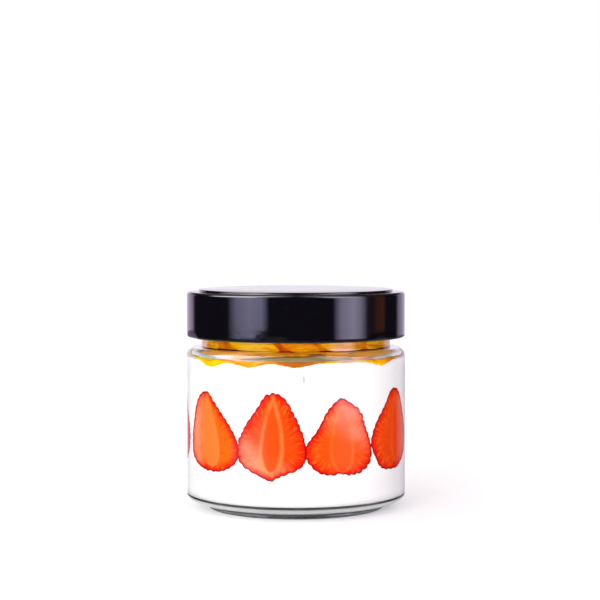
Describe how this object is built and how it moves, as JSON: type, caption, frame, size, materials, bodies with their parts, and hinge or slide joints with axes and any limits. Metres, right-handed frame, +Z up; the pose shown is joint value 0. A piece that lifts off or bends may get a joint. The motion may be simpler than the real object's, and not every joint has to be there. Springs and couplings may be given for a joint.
{
  "type": "glass jar of layered dessert",
  "caption": "Low round glass jar with a deep black twist lid, filled with white cream, upright strawberry slices against the glass and soft orange fruit on top.",
  "frame": {"origin": "middle of the ring that the jar stands on", "axes": "+Z up through the middle of the jar, -Y the front shown first"},
  "size_m": [0.0864, 0.0864, 0.0862],
  "materials": {
    "glass": "clear, smooth, faintly green at the edges",
    "black_lacquer": "glossy lacquer on sheet steel",
    "cream": "soft satin, moist",
    "strawberry": "moist cut fruit",
    "orange_fruit": "moist cut fruit"
  },
  "bodies": {
    "root": {"jar": "glass", "lid": "black_lacquer", "cream": "cream", "fruit": "orange_fruit", "fruit_strip": "orange_fruit", "strawberry_1": "strawberry", "strawberry_2": "strawberry", "strawberry_3": "strawberry", "strawberry_4": "strawberry", "strawberry_5": "strawberry", "strawberry_6": "strawberry", "strawberry_7": "strawberry", "strawberry_8": "strawberry", "strawberry_9": "strawberry"}
  },
  "joints": []
}
